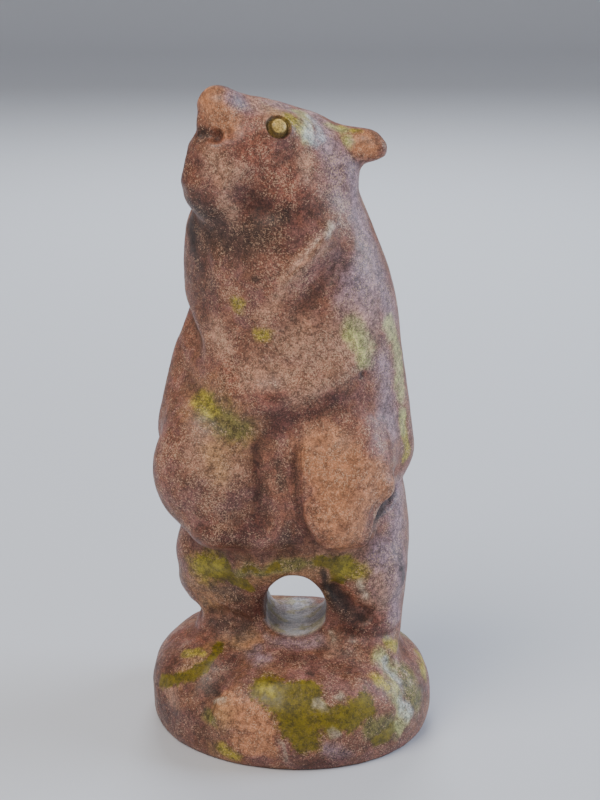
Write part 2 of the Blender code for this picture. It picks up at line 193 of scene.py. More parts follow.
# %% Helpers that find a place
HEAD_TURN = math.radians(43)
HEAD_MIDDLE = Vector((-0.6, -0.6, 0)) * MM
HEAD_SIDEWAYS = Vector((math.cos(HEAD_TURN), -math.sin(HEAD_TURN), 0))
OUTSIDE = 100 * MM
CORE = 9 * MM


def skin_tree(mesh):
    """The skin in a form that rays and nearest places are found on quickly."""
    corners = [vert.co for vert in mesh.vertices]
    faces = [face.vertices for face in mesh.polygons]
    return BVHTree.FromPolygons(corners, faces)


def on_skin(tree, *place):
    """The place on the skin at a bearing and a height, or the nearest to a point (x, y, z) in mm.

    A bearing is in degrees, 0 in front and 90 at the bear's left. A height is in mm above the table.
    """
    if len(place) == 3:
        return tree.find_nearest(Vector(place) * MM)[0]
    bearing, height = place
    angle = math.radians(bearing)
    outward = Vector((math.sin(angle), -math.cos(angle), 0))
    level = Vector((0, 0, height * MM))
    met = tree.ray_cast(level + outward * OUTSIDE, -outward)[0]
    if met is None:
        met = tree.find_nearest(level + outward * CORE)[0]
    return met


def mirrored(tree, place):
    """The same place on the other side of the head."""
    aside = (place - HEAD_MIDDLE).dot(HEAD_SIDEWAYS)
    return tree.find_nearest(place - 2 * aside * HEAD_SIDEWAYS)[0]


plain_tree = skin_tree(skin)
print("the chest is at", [round(value / MM, 1) for value in on_skin(plain_tree, 0, 50)], "mm")

# %% [markdown]
# ## Blending the folds
# The solid's folds are cut as plain grooves. On the carving the wide ones were ground until they
# run softly into the chest and the arms. The same is done here: the skin moves toward a strongly
# smoothed copy of itself, but only near the folds that are listed, and more where that fills a
# valley than where it lowers a ridge. The list gives each fold's places as a bearing and a height,
# then its reach in millimetres and how much of the way the skin moves.

# %% Blend the wide folds
BLEND_ROUNDS = 120
LOWERING_SHARE = 0.6
SOFT_FOLDS = {
    "chest": (((-4, 45.7), (11, 47.4), (26, 49.1), (41, 50.0), (56, 53.0)), 5.0, 0.9),
    "wrist": (((30, 46.0), (50, 46.0), (66, 45.5), (76, 44.0)), 5.0, 1.0),
    "shoulder": (((54, 70.7), (41, 67.7), (28, 64.7), (20, 61.5)), 3.0, 0.5),
    "breast": (((-12, 52.0), (0, 51.0), (20, 53.0)), 4.5, 0.8),
    "chin": (((-50, 77.0), (-36, 76.5)), 3.2, 1.0),
    "nose": (((-42, 86.8), (-46, 86.0), (-56, 85.4), (-64, 85.2)), 3.0, 1.0),
    "ankle": (((58, 19.0), (48, 21.0)), 2.0, 0.8),
    "jaw": (((-20, 78.4), (-16, 76.8)), 3.0, 0.7),
    "under jaw": (((-28, 73.2), (-10, 73.6), (8, 74.2), (20, 74.8)), 4.2, 0.85),
    "belly": (((-8, 44.0), (-8, 33.0)), 2.6, 0.95),
    "paw edge": (((16, 43.5), (15, 37.0), (18, 33.0)), 2.0, 0.45),
}


def smoothed(values, edges, rounds):
    for _ in range(rounds):
        values = 0.5 * values + 0.5 * neighbour_mean(values, edges)
    return values


def distance_to_line(points, start, end):
    along = np.array(end - start)
    span = max(float(along @ along), 1e-12)
    share = np.clip((points - np.array(start)) @ along / span, 0, 1)
    return np.linalg.norm(points - np.array(start) - share[:, None] * along, axis=1)


def distance_to_path(points, places):
    """How far each point is from the nearest stretch of a path, which may be a single place."""
    stretches = list(zip(places, places[1:])) or [(places[0], places[0])]
    return np.min([distance_to_line(points, start, end) for start, end in stretches], axis=0)


def nearness(points, places, reach):
    """1 along a path and 0 beyond its reach, with a smooth slope between."""
    away = distance_to_path(points, places)
    return np.clip(1 - (away / (reach * MM)) ** 2, 0, 1) ** 1.5


points, normals = read_points(skin), read_normals(skin)
lift = ((smoothed(points, edge_ends(skin), BLEND_ROUNDS) - points) * normals).sum(axis=1)
lift = np.where(lift > 0, lift, lift * LOWERING_SHARE)
blend = np.zeros(len(points))
for path, reach, strength in SOFT_FOLDS.values():
    places = [on_skin(plain_tree, *place) for place in path]
    blend = np.maximum(blend, strength * nearness(points, places, reach))
write_points(skin, points + normals * (lift * blend)[:, None])
plain_tree = skin_tree(skin)
print("the folds were filled by up to", round((lift * blend).max() / MM, 2), "mm")

# %% [markdown]
# ## The eyes
# Each eye is a small round bead left standing in a ring-shaped groove, as a hollow drill leaves it.
# The groove is just over half a millimetre wide, little more than one square of the skin, so the
# squares near the eyes are split first. The surface round the eye is then fitted with one smooth
# bowl, and the bead and groove are a profile turned about its middle. A separate ball would be
# easier, but it would show a seam that a carving doesn't have.

# %% Split the skin where the finest work goes
EYE = (4.9, 86.4)
NOSTRIL = (-35, 84.9)
EYE_REACH = 2.7 * MM
NOSE_REACH = 2.6 * MM
EYE_CUTS = 3
NOSE_CUTS = 1


def split_near(mesh, centres, reach, cuts):
    shape = bmesh.new()
    shape.from_mesh(mesh)
    near = [
        face for face in shape.faces
        if min((face.calc_center_median() - centre).length for centre in centres) < reach
    ]
    edges = list({edge for face in near for edge in face.edges})
    bmesh.ops.subdivide_edges(shape, edges=edges, cuts=cuts, use_grid_fill=True)
    shape.to_mesh(mesh)
    shape.free()


left_eye = on_skin(plain_tree, *EYE)
eyes = [left_eye, mirrored(plain_tree, left_eye)]
left_nostril = on_skin(plain_tree, *NOSTRIL)
nostrils = [left_nostril, mirrored(plain_tree, left_nostril)]
split_near(skin, eyes, EYE_REACH, EYE_CUTS)
split_near(skin, nostrils, NOSE_REACH, NOSE_CUTS)
print("the skin now has", len(skin.polygons), "faces")

# %% Turn the eyes
EYE_BEAD = 1.06 * MM
EYE_RING = 1.7 * MM
BEAD_RISE = 0.36 * MM
GROOVE_DEPTH = 0.42 * MM
LIP_HEIGHT = 0.05 * MM
LIP_PLACE = 0.12 * MM
LIP_WIDTH = 0.16 * MM


def eye_profile(radius):
    """How far the skin stands out at a distance from the eye's middle."""
    bead = BEAD_RISE * np.sqrt(np.clip(1 - (radius / EYE_BEAD) ** 2, 0, 1))
    across = np.clip((radius - EYE_BEAD) / (EYE_RING - EYE_BEAD), 0, 1)
    groove = -GROOVE_DEPTH * np.sin(math.pi * across) ** 0.7
    lip = LIP_HEIGHT * np.exp(-(((radius - EYE_RING - LIP_PLACE) / LIP_WIDTH) ** 2))
    return np.where(radius < EYE_BEAD, bead, groove) + lip


print("the eye's groove is", round((EYE_RING - EYE_BEAD) / MM, 2), "mm wide")

# %% Press them into the head
AROUND_EYE = ((2, 0, 0), (-2, 0, 0), (0, 2, 0), (0, -2, 0), (0, 0, 2), (0, 0, -2))
COLLAR_INNER = 2.0 * MM
COLLAR_OUTER = 3.2 * MM
BOWL_EDGE = 2.6 * MM
BOWL_BLEND = 0.5 * MM
LOOK_AROUND = 5 * MM
LOOK_BEHIND = 2.5 * MM


def turn_eye(points, tree, centre):
    """Presses the eye's profile into the points, round the middle of the eye."""
    leanings = [tree.find_nearest(centre + Vector(step) * MM)[1] for step in AROUND_EYE]
    outward = sum(leanings, Vector()).normalized()
    sideways = outward.cross(Vector((0, 0, 1))).normalized()
    upward = sideways.cross(outward)
    offset = points - np.array(centre)
    u, v, w = (offset @ np.array(axis) for axis in (sideways, upward, outward))
    radius = np.hypot(u, v)
    close = (np.linalg.norm(offset, axis=1) < LOOK_AROUND) & (w > -LOOK_BEHIND)
    collar = close & (radius > COLLAR_INNER) & (radius < COLLAR_OUTER)

    def bowl_terms(of):
        a, b = u[of] / MM, v[of] / MM
        return np.stack([np.ones(len(a)), a, b, a * a, a * b, b * b], axis=1)

    bowl = np.linalg.lstsq(bowl_terms(collar), w[collar], rcond=None)[0]
    inside = close & (radius < BOWL_EDGE)
    fade = np.clip((BOWL_EDGE - radius[inside]) / BOWL_BLEND, 0, 1)
    target = bowl_terms(inside) @ bowl + eye_profile(radius[inside])
    points[inside] += np.outer((target - w[inside]) * fade, np.array(outward))
    return outward


points = read_points(skin)
eye_axes = [turn_eye(points, plain_tree, centre) for centre in eyes]
write_points(skin, points)
print("the left eye looks along", [round(value, 2) for value in eye_axes[0]])

# %% [markdown]
# ## Folds, nostrils and claws
# A carver cuts these with a small round burr: each is a path over the skin, deepest along its
# middle. The same stroke with a depth below zero raises a ridge. Every stroke is a short list of
# places, its half width and its depth in millimetres, so it can be moved or deepened without
# touching a single vertex. A few wide strokes do larger work: they round the nose and the right
# haunch, and cut in above the base behind the right foot.

# %% List the strokes
STROKES = {
    "paw_edge": (
        ((21, 45.4), (17, 44.0), (16, 39.5), (17, 36.2), (20, 32.9), (27, 30.3), (40, 28.4)), 1.1, 0.6,
    ),
    "between_claws": (((57, 36.6), (52, 34.8), (49, 33.3)), 0.7, 0.3),
    "belly_groove": (((-9, 44.6), (-8, 39.1), (-8, 32.0)), 1.3, 0.16),
    "inner_leg": (((40, 23.4), (48, 21.2), (55, 19.4)), 1.5, 0.4),
    "ankle_pit": (((58, 18.3), (59, 17.9)), 1.3, 0.45),
    "paw_back": (((80, 36.4), (72, 34.7), (62, 33.9), (56, 32.6), (54, 31.0), (52, 29.0)), 1.2, 0.7),
    "left_sole": (((48, 16.0), (58, 15.9), (70, 15.8), (82, 16.0)), 1.2, 0.5),
    "right_sole": (((-62, 17.2), (-50, 17.4), (-38, 17.0), (-28, 16.4)), 1.2, 0.4),
    "right_ankle": (((-102, 15.8), (-84, 15.9), (-66, 16.2)), 2.0, 1.1),
    "right_haunch": (((-95, 20.0), (-82, 20.3), (-68, 20.4)), 3.2, -0.55),
    "nose_root": (((-46, 86.2), (-52, 86.0), (-54, 85.2)), 2.0, -0.5),
    "muzzle_front": (((-49, 81.8), (-46, 80.6)), 1.8, -0.3),
    "muzzle_side": (((-58, 80.0), (-62, 78.0)), 2.6, 0.25),
    "neck_ridge": (((42, 73.1), (32, 71.1), (23, 69.0), (13, 67.2), (4, 65.1)), 0.9, -0.3),
    "throat_ridge": (((8, 68.9), (0, 67.3), (-9, 65.3)), 0.8, -0.14),
    "shoulder_ridge": (((56, 69.2), (47, 67.4), (41, 65.7), (36, 64.2)), 0.9, -0.12),
    "breast_spot": (((-23, 62.8),), 0.9, 0.2),
    "lower_breast_spot": (((-4, 59.1),), 0.85, 0.22),
    "arm_speck": (((57, 53.3),), 0.6, 0.35),
    "breast_speck": (((-9, 66.7),), 0.6, 0.22),
    "lap_ridge": (((13, 35.7), (9, 33.2), (1, 30.1)), 0.9, -0.18),
    "lap_groove": (((17, 35.4), (14, 31.7)), 0.7, 0.15),
    "base_crease": (((10, 4.6), (12, 2.2)), 0.6, 0.15),
    "base_valley": (((-29, 13.6), (-28, 12.5), (-28, 10.5), (-28, 8.1), (-24, 5.5)), 2.4, 0.55),
    "base_right_valley": (((65, 13.5), (66, 9.8), (63, 6.8), (55, 4.2)), 2.2, 0.5),
    "base_shelf": (((-1, 11.1), (17, 11.4), (37, 11.0), (50, 10.8)), 2.0, -0.35),
    "base_left_shoulder": (((-60, 12.4), (-48, 11.6)), 3.0, -0.35),
}
HEAD_STROKES = {
    "nostril": (((-37, 84.9), (-33, 84.7)), 1.5, 0.26),
    "nose_pit": (((-26, 85.6), (-26, 85.0)), 0.6, 0.2),
    "jaw_recess": (((-14, 76.4), (-8, 75.6), (4, 75.2)), 2.2, 0.25),
    "cheek": (((-23, 80.2),), 2.4, -0.22),
}
print(len(STROKES), "strokes on the body,", len(HEAD_STROKES), "pairs on the head")

# %% Press the strokes into the skin
STROKE_STEP = 0.2 * MM
STROKE_START = 0.15
STROKE_RUN_IN = 5


def stroke_centres(tree, path):
    """Places close together along a path, each with how far the burr has come in there."""
    corners = [on_skin(tree, *corner) for corner in path]
    if len(corners) == 1:
        return [(corners[0], 1.0)]
    centres = []
    for start, end in zip(corners, corners[1:]):
        steps = max(2, round((end - start).length / STROKE_STEP))
        for step in range(steps):
            centres.append(tree.find_nearest(start.lerp(end, step / steps))[0])
    centres.append(corners[-1])
    last = len(centres) - 1
    to_end = [min(number, last - number) for number in range(len(centres))]
    return [
        (centre, min(1.0, STROKE_START + STROKE_RUN_IN * steps / last))
        for centre, steps in zip(centres, to_end)
    ]


def press(points, normals, centres, half_width, depth):
    pressed = np.zeros(len(points))
    for centre, share in centres:
        away = np.linalg.norm(points - np.array(centre), axis=1) / (half_width * MM)
        pressed = np.maximum(pressed, share * np.clip(1 - away**2, 0, None) ** 2)
    return points - normals * (pressed * depth * MM)[:, None]


tree = skin_tree(skin)
points, normals = read_points(skin), read_normals(skin)
for path, half_width, depth in STROKES.values():
    points = press(points, normals, stroke_centres(tree, path), half_width, depth)
for path, half_width, depth in HEAD_STROKES.values():
    left = stroke_centres(tree, path)
    right = [(mirrored(tree, centre), share) for centre, share in left]
    for centres in (left, right):
        points = press(points, normals, centres, half_width, depth)
write_points(skin, points)
print("pressed", len(STROKES) + 2 * len(HEAD_STROKES), "strokes")

# %% [markdown]
# ## The hand of the maker
# A machine-smooth skin looks like plastic. Stone that was ground by hand keeps a faint unevenness a
# few millimetres across. A slow noise along the normals gives it, so weak that it shows only in the
# highlights. The eyes are left out, because their groove would turn ragged, and so is the
# underside, which has to stand flat. The base was left rougher than the bear, so it gets a second
# noise of its own, with larger and deeper lumps.

# %% Leave the skin slightly uneven
UNEVEN_SIZE = 3.6 * MM
UNEVEN_DEPTH = 0.055 * MM
UNEVEN_FADING = 0.9
UNEVEN_FINER = 2.1
UNEVEN_LAYERS = 3
LUMP_SIZE = 6.5 * MM
LUMP_DEPTH = 0.6 * MM
CALM_ROUND_EYE = 2.4 * MM
CALM_AT_FOOT = 1.5 * MM
LUMP_FADE = 3 * MM
BASE_TOP = 15 * MM


def calm_near(points, centres, reach):
    """0 at the given places and 1 beyond their reach."""
    away = np.min([np.linalg.norm(points - np.array(centre), axis=1) for centre in centres], axis=0)
    return np.clip(away / reach, 0, 1)


points, normals = read_points(skin), read_normals(skin)
waves = np.array([
    noise.fractal(Vector(point) / UNEVEN_SIZE, UNEVEN_FADING, UNEVEN_FINER, UNEVEN_LAYERS)
    for point in points
])
waves *= calm_near(points, eyes, CALM_ROUND_EYE)
waves *= np.clip(points[:, 2] / CALM_AT_FOOT, 0, 1)
points += normals * (waves * UNEVEN_DEPTH)[:, None]

lumps = np.array([noise.noise(Vector(point) / LUMP_SIZE) for point in points])
lumps *= np.clip(points[:, 2] / LUMP_FADE, 0, 1)
lumps *= np.clip((BASE_TOP - points[:, 2]) / LUMP_FADE, 0, 1)
points += normals * (lumps * LUMP_DEPTH)[:, None]
points[:, 2] = np.maximum(points[:, 2], cad_box[0].z)
write_points(skin, points)
print("the hand marks are up to", round(np.abs(waves).max() * UNEVEN_DEPTH / MM, 3), "mm deep")
print("the base's lumps are up to", round(np.abs(lumps).max() * LUMP_DEPTH / MM, 2), "mm high")

# %% [markdown]
# ## Where each mineral lies
# The stone is a mixture: the pink-brown rock holds lumps and veins of other minerals, each with its
# own colour. Painting an image would be flat and would stretch on the folds. Here each mineral
# instead gets a field on the points of the skin: 1 in the middle of a patch, 0 at its edge and
# below 0 outside. The shader later decides how crisp and how ragged the edge is. A patch is a few
# places joined up, and its reach in millimetres. A coarse noise bends its outline first, and a
# fixed seed gives that noise the same offsets in every run.
#
# The names are short ones for how each part of the stone looks, not for what it is made of. Some
# patches also paint light: the dark umber, garnet, smoke and soot ones are partly painted shade in
# the folds, under the jaw and beside the paws, the lilac ones partly a painted cool sheen along the
# bear's left side, and some peach ones painted highlights. Frost is a pale bloom on the pale green.
# Sugar has no colour of its own: it marks where the fine pale dashes crowd together. The back and
# the bear's right side have fewer patches, because a guess should be plain.

# %% List the patches of each mineral
PATCHES = {
    # Peach is partly the stone's pale orange and partly painted light: highlights on the chest bulge
    # and the neck ridge, and lighter paint on the left thigh where the paw's shadow falls.
    "peach_and_highlight": (
        (((19, 57.8), (40, 57.0), (51, 59.4)), 3.2),
        (((-10, 53.6), (9, 54.1)), 2.0),
        (((31, 71.0), (13, 66.6), (-4, 61.5)), 0.9),
        (((-24, 77.1), (-25, 74.3)), 0.9),
        (((-12, 88.0), (0, 87.2)), 1.8),
        (((37, 28.6), (49, 28.5)), 1.5),
        (((-52, 7.2), (-43, 6.4)), 0.9),
        (((-24, 88.8), (-14, 88.2)), 1.0),
        (((-33, 42.7), (-21, 40.6)), 2.1),
        (((24, 44.9), (39, 45.0)), 1.3),
        (((-29, 81.6), (-22, 79.9)), 1.7),
        (((25, 82.0), (27, 79.4)), 0.9),
        (((18, 51.3), (30, 52.5)), 1.6),
        (((-40, 58.8), (-32, 57.0)), 1.6),
        (((44, 14.8), (40, 13.4)), 0.7),
        (((51, 24.4), (55, 22.2), (60, 20.4)), 1.1),
        (((61, 24.6), (65, 20.4)), 1.2),
        (((120, 76), (140, 70)), 4.0),
        (((-110, 46), (-130, 42)), 3.5),
    ),
    # Umber is partly the stone's dark brown and partly painted shade: under the jaw, on the throat,
    # along the back edge of the left paw and in the valleys of the base.
    "umber_and_shade": (
        (((-13, 76.0), (-6, 75.6)), 1.2),
        (((-55, 71.8), (-13, 71.8), (4, 72.4)), 2.6),
        (((-54, 81.5), (-50, 77.0)), 2.2),
        (((-46, 82.6), (-40, 81.6)), 1.2),
        (((-10, 74.8), (20, 75.4), (44, 75.9)), 1.5),
        (((-62, 66), (-48, 62)), 2.4),
        (((51, 68.3), (28, 63.6), (10, 59.4)), 1.1),
        (((-48, 67.8), (-40, 64.0)), 1.2),
        (((-6, 43.8), (-6, 36.5), (-6, 31.6)), 0.6),
        (((17, 43.6), (17, 38.9), (18, 34.2)), 0.5),
        (((76, 35.4), (68, 34.3), (58, 34.0), (53, 31.9)), 0.8),
        (((-32, 9.1), (-23, 8.6)), 1.1),
        (((-29, 6.4), (-18, 5.2)), 1.0),
        (((-50, 22.6), (-24, 22.3), (-10, 25.0)), 1.7),
        (((8, 58.0), (20, 58.4)), 1.6),
        (((-36, 13.9), (-28, 12.5), (-29, 10.3)), 1.3),
        (((33, 13.4), (44, 12.0)), 1.7),
        (((38, 3.5), (45, 3.9)), 1.2),
        (((8, 28.0), (34, 28.6)), 1.3),
        (((51, 35.7), (51, 32.6)), 0.7),
        (((-61, 16.6), (-52, 16.8)), 1.1),
        (((12, 13.4), (28, 13.1), (47, 13.5)), 1.7),
        (((-70, 9.0), (-52, 6.0)), 4.5),
        (((-30, 5.0), (-24, 2.5)), 2.0),
        (((60, 4.0), (80, 8.0)), 2.6),
        (((-22, 18.3), (-28, 16.5)), 1.4),
        (((40, 23.5), (47, 19.1), (54, 16.9)), 1.0),
        (((170, 62), (-170, 55)), 3.5),
        (((110, 28), (130, 20)), 2.5),
    ),
    # Lilac is partly the stone's own mauve and partly a painted cool sheen, as from a window, along the
    # bear's left side and the top of the head.
    "lilac_and_sheen": (
        (((-33, 90.6), (-30, 89.6), (-21, 88.7), (3, 87.9), (14, 87.5)), 1.2),
        (((78, 86.7), (57, 84.4), (53, 80.8), (51, 76.9)), 1.6),
        (((69, 80.5), (75, 75.1), (74, 71.2)), 2.0),
        (((76, 69.2), (76, 64.5), (80, 61.0)), 1.9),
        (((60, 66.5), (58, 61.0)), 2.7),
        (((50, 67.4), (51, 62.1)), 2.0),
        (((70, 54.7), (74, 48.9)), 1.6),
        (((72, 49.0), (73, 44.9)), 1.6),
        (((83, 35.5), (72, 26.5), (75, 18.4)), 1.9),
        (((62, 27.8), (64, 21.1)), 2.3),
        (((-22, 13.6), (-7, 13.1)), 1.2),
        (((1, 14.3), (18, 14.3), (34, 14.6)), 1.1),
        (((26, 3.6), (34, 2.4)), 0.9),
        (((130, 66), (150, 58), (165, 50)), 4.0),
    ),
    "rust": (
        (((-16, 84.6), (-5, 81.3), (19, 79.0)), 3.1),
        (((-17, 85.2), (-9, 83.3)), 1.6),
        (((47, 25.4), (53, 22.4), (62, 19.6)), 2.0),
        (((-81, 10.0), (-64, 12.8)), 3.2),
        (((1, 51.4), (-12, 52.9)), 2.1),
        (((-27, 53.8), (-16, 51.6)), 1.6),
        (((160, 40), (170, 33)), 4.0),
    ),
    "ember": (
        (((-40, 89.7), (-35, 88.0), (-31, 86.7)), 2.2),
        (((76, 83.5), (76, 82.5)), 1.7),
        (((31, 43.2), (36, 38.8), (37, 33.4)), 3.6),
        (((41, 42.4), (51, 40.0), (54, 38.4)), 2.4),
        (((44, 37.3), (51, 37.5)), 1.8),
        (((-16, 8.3), (-4, 7.7), (1, 6.0)), 2.1),
        (((-8, 3.8), (4, 3.8)), 1.2),
        (((-25, 13.6), (-17, 14.2)), 0.7),
    ),
    "honey": (
        (((-42, 49.0), (-19, 45.6)), 2.9),
        (((-6, 87.9), (2, 87.4)), 1.0),
        (((-27, 43.2), (-24, 40.6)), 1.7),
        (((-26, 14.1), (-31, 13.8)), 1.3),
        (((-60, 21.5), (-45, 20.0)), 1.8),
        (((-20, 25.0), (10, 26.0), (35, 26.5)), 1.8),
        (((-62, 18.5), (-50, 18.5)), 1.3),
        (((-21, 7.1), (-17, 7.0)), 1.7),
        (((-21, 1.2), (-11, 1.1)), 1.0),
        (((60, 13.7), (73, 14.4)), 0.8),
        (((-46, 9.7), (-40, 11.9), (-42, 13.3)), 1.5),
        (((40, 21.5), (40, 25.3)), 0.7),
        (((200, 20), (215, 14)), 3.0),
    ),
    # Garnet is partly dark red stone and partly painted shade: under the nose, under the jaw, along the
    # chest crease and under the left foot.
    "garnet_and_shade": (
        (((-46, 85.2), (-33, 84.7)), 1.2),
        (((-26, 85.5), (-26, 85.1)), 0.4),
        (((-14, 76.4), (-9, 75.6), (9, 75.0)), 2.0),
        (((-38, 76.6), (-34, 75.4)), 1.5),
        (((-52, 80.0), (-44, 79.0)), 1.3),
        (((-8, 46.0), (-8, 40.4), (-9, 33.4)), 0.5),
        (((-4, 45.7), (11, 47.4), (26, 49.1), (41, 50.0)), 1.3),
        (((-31, 31.9), (-21, 29.6), (-9, 33.1)), 1.5),
        (((18, 31.7), (20, 33.2)), 1.1),
        (((54, 16.6), (69, 16.1)), 1.3),
        (((49, 26.3), (52, 23.9)), 1.2),
        (((-1.8, -8.7, 21.9), (-20, 17.9)), 1.0),
        (((-58, 3.2), (-44, 3.4)), 1.9),
        (((-49, 18.4), (-34, 19.0)), 1.1),
        (((-37, 12.6), (-26, 12.1)), 1.4),
        (((32, 1.5), (20, 1.2)), 1.1),
        (((-120, 30), (-130, 24)), 3.0),
    ),
    # Smoke is partly dark stone and partly painted shade on the throat and under the chin.
    "smoke_and_shade": (
        (((-41, 75.6), (-36, 73.8)), 1.8),
        (((-45, 85.0), (-42, 84.8)), 0.9),
        (((-52, 71.6), (-33, 71.3), (-12, 72.2)), 2.4),
        (((-56, 69.0), (-50, 66.5)), 0.9),
        (((5, 41.8), (7, 38.3)), 0.6),
        (((10, 32.8), (10, 30.1)), 0.8),
        (((-50, 20.9), (-31, 20.4)), 0.9),
        (((45, 20.8), (51, 19.2)), 1.1),
        (((-54, 15.4), (-37, 15.1)), 1.1),
        (((-28, 9.1), (-23, 9.1)), 0.8),
        (((1, 74.2), (9, 74.8)), 1.2),
        (((35, 25.9), (42, 21.4)), 0.7),
        (((-95, 66), (-105, 60)), 2.4),
    ),
    "olive": (
        (((-51, 24.4), (-39, 24.2)), 1.9),
        (((-36, 23.7), (-23, 23.0)), 1.1),
        (((-20, 25.1), (4, 26.4)), 0.4),
        (((31, 27.6), (47, 26.8)), 1.0),
        (((41, 26.7), (44, 24.2)), 0.8),
        (((-57, 7.7), (-44, 9.6), (-38, 11.0)), 1.0),
        (((-36, 11.3), (-38, 12.7), (-41, 13.4)), 0.8),
        (((1, 11.1), (8, 10.1)), 2.2),
        (((11, 10.5), (22, 10.9)), 1.7),
        (((11, 9.0), (15, 6.9), (18, 5.2)), 2.2),
        (((20, 8.6), (28, 7.4), (36, 7.6), (42, 8.5)), 2.0),
        (((17, 9.9), (28, 8.4)), 1.1),
        (((47, 3.2), (55, 4.2)), 1.0),
        (((-46, 9.0), (-42, 10.5), (-38, 11.6)), 1.0),
        (((150, 24), (158, 25.2)), 1.5),
        (((170, 26), (176, 25.2)), 1.0),
        (((192, 24), (200, 23)), 1.3),
        (((138, 9), (143, 7.6)), 2.0),
        (((152, 7.2), (155, 5.8)), 0.9),
        (((163, 3.6), (168, 4.6)), 1.2),
        (((-142, 10), (-134, 8)), 1.6),
        (((-126, 7), (-118, 9)), 0.9),
    ),
    "moss": (
        (((-37, 48.4), (-27, 47.1), (-20, 45.9)), 2.0),
        (((-28, 24.6), (-8, 25.7), (12, 26.8), (30, 27.5)), 0.8),
        (((72, 10.3), (70, 8.2), (73, 5.9)), 1.6),
        (((45, 5.4), (54, 4.8)), 1.4),
        (((-26, 6.1), (-21, 5.8)), 0.8),
        (((110, 12), (125, 9)), 2.0),
        (((-165, 52), (-158, 49)), 1.7),
        (((-152, 47), (-148, 45)), 0.9),
    ),
    "lichen": (
        (((12, 87.2), (23, 85.8)), 0.9),
        (((8.9, -1.4, 85.6), (9.4, -1.2, 84.7)), 0.6),
        (((-23, 62.8), (-22, 62.7)), 1.1),
        (((-4, 59.1), (-4, 59.1)), 1.1),
        (((84, 45.5), (84, 40.6)), 0.8),
        (((54, 11.1), (56, 9.9)), 1.1),
        (((49, 59.0), (54, 57.8), (56, 55.8)), 0.9),
        (((-46, 49.0), (-36, 48.4)), 1.2),
        (((-53, 24.2), (-46, 25.0)), 2.2),
        (((46, 26.7), (52, 25.8)), 1.4),
        (((68, 15.0), (74, 13.6)), 0.8),
        (((-54, 11.8), (-45, 12.6)), 0.6),
        (((-17, 2.2), (-11, 1.4)), 1.0),
        (((98, 9.3), (87, 8.0)), 0.9),
        (((-1, 11.1), (5, 10.8)), 0.8),
        (((7.0, -0.4, 84.9), (74, 83.6)), 0.7),
        (((-100, 84), (-95, 82)), 0.9),
    ),
    "celadon": (
        (((39, 87.0), (31, 85.6), (31, 84.5)), 1.1),
        (((6.6, -1.6, 86.6), (7.6, -0.9, 84.6), (74, 83.3)), 0.8),
        (((51, 59.4), (56, 57.3), (58, 55.6)), 1.5),
        (((77, 59.5), (85, 55.2), (85, 49.3)), 1.1),
        (((84, 46.6), (83, 43.9)), 0.7),
        (((62, 13.1), (66, 11.2), (61, 9.0)), 1.1),
        (((59, 7.9), (64, 4.8), (59, 3.9)), 1.1),
        (((100, 61), (104, 57)), 1.2),
        (((108, 54), (105, 50)), 0.8),
        (((-100, 58), (-104, 54)), 1.3),
        (((-111, 52), (-107, 49)), 0.8),
    ),
    "quartz": (
        (((53, 24.2), (55, 22.0)), 0.5),
        (((41, 73.0), (38, 72.2)), 0.6),
        (((24, 9.6), (26, 9.2)), 0.5),
        (((33, 9.9), (35, 10.0)), 0.5),
        (((28, 6.0), (29, 5.4)), 0.5),
        (((46, 15.6), (45, 14.7)), 0.3),
        (((9, 4.6), (11, 1.8)), 0.3),
        (((-24, 8.1), (-18, 8.9)), 0.3),
        (((-160, 12), (-175, 5)), 0.9),
    ),
    # Soot is partly black specks and partly painted shade: beside the left paw, at the chin's left and
    # in the pits by the left foot.
    "soot_and_shade": (
        (((-64, 72.4), (-58, 69.8)), 1.5),
        (((-9, 66.7), (-8, 66.5)), 0.5),
        (((56, 53.5), (57, 52.7)), 0.5),
        (((41, 22.9), (48, 21.4), (55, 19.8)), 0.7),
        (((58, 18.4), (59, 17.9)), 1.15),
        (((74, 25.3), (76, 23.2)), 0.9),
        (((22, 12.3), (23, 12.2)), 0.5),
        (((76, 35.2), (64, 33.6), (56, 32.8)), 0.9),
        (((33, 26.0), (39, 23.1)), 0.5),
    ),
    "frost": (
        (((35, 86.0), (34, 84.8), (36, 83.8)), 0.9),
        (((52, 86.6), (50, 84.0)), 0.7),
        (((64, 12.2), (65, 9.4)), 0.7),
        (((62, 7.2), (66, 5.4)), 0.9),
        (((140, 61), (146, 58)), 1.1),
        (((-139, 49), (-143, 47)), 0.8),
    ),
    "sugar": (
        (((-28, 81.8), (-17, 80.6)), 2.0),
        (((-26, 77.5), (-24, 73.5)), 1.0),
        (((-6, 82.0), (12, 78.5)), 1.8),
        (((-4, 84.9), (2, 84.4)), 0.5),
        (((24, 83.4), (27, 81.0)), 0.9),
        (((41, 73.2), (24, 69.0), (4, 64.5)), 1.1),
        (((55, 80.0), (56, 74.0)), 1.4),
        (((-37, 40.6), (-32, 40.2)), 0.9),
        (((22, 41.8), (37, 41.2), (44, 40.0)), 1.3),
        (((15, 56.0), (42, 56.0)), 3.4),
        (((-34, 56.5), (-20, 53.0)), 2.6),
        (((-14, 62.0), (-34, 66.0)), 2.0),
        (((-50, 42.0), (-20, 34.0)), 2.8),
        (((-28, 88.5), (10, 87.8)), 1.0),
        (((150, 60), (190, 48)), 5.0),
    ),
}
print({mineral: len(patches) for mineral, patches in PATCHES.items()})

# %% Measure the fields
RAGGED_SIZE = 1.9 * MM
RAGGED_REACH = 0.75 * MM
RAGGED_SEED = 7
FIELD_LOWEST = -1.5


def patch_field(points, tree, path, reach):
    corners = [on_skin(tree, *corner) for corner in path]
    return 1 - distance_to_path(points, corners) / (reach * MM)


def store_field(mesh, name, values):
    field = mesh.attributes.new(name, "FLOAT", "POINT")
    field.data.foreach_set("value", values.astype(np.float32))


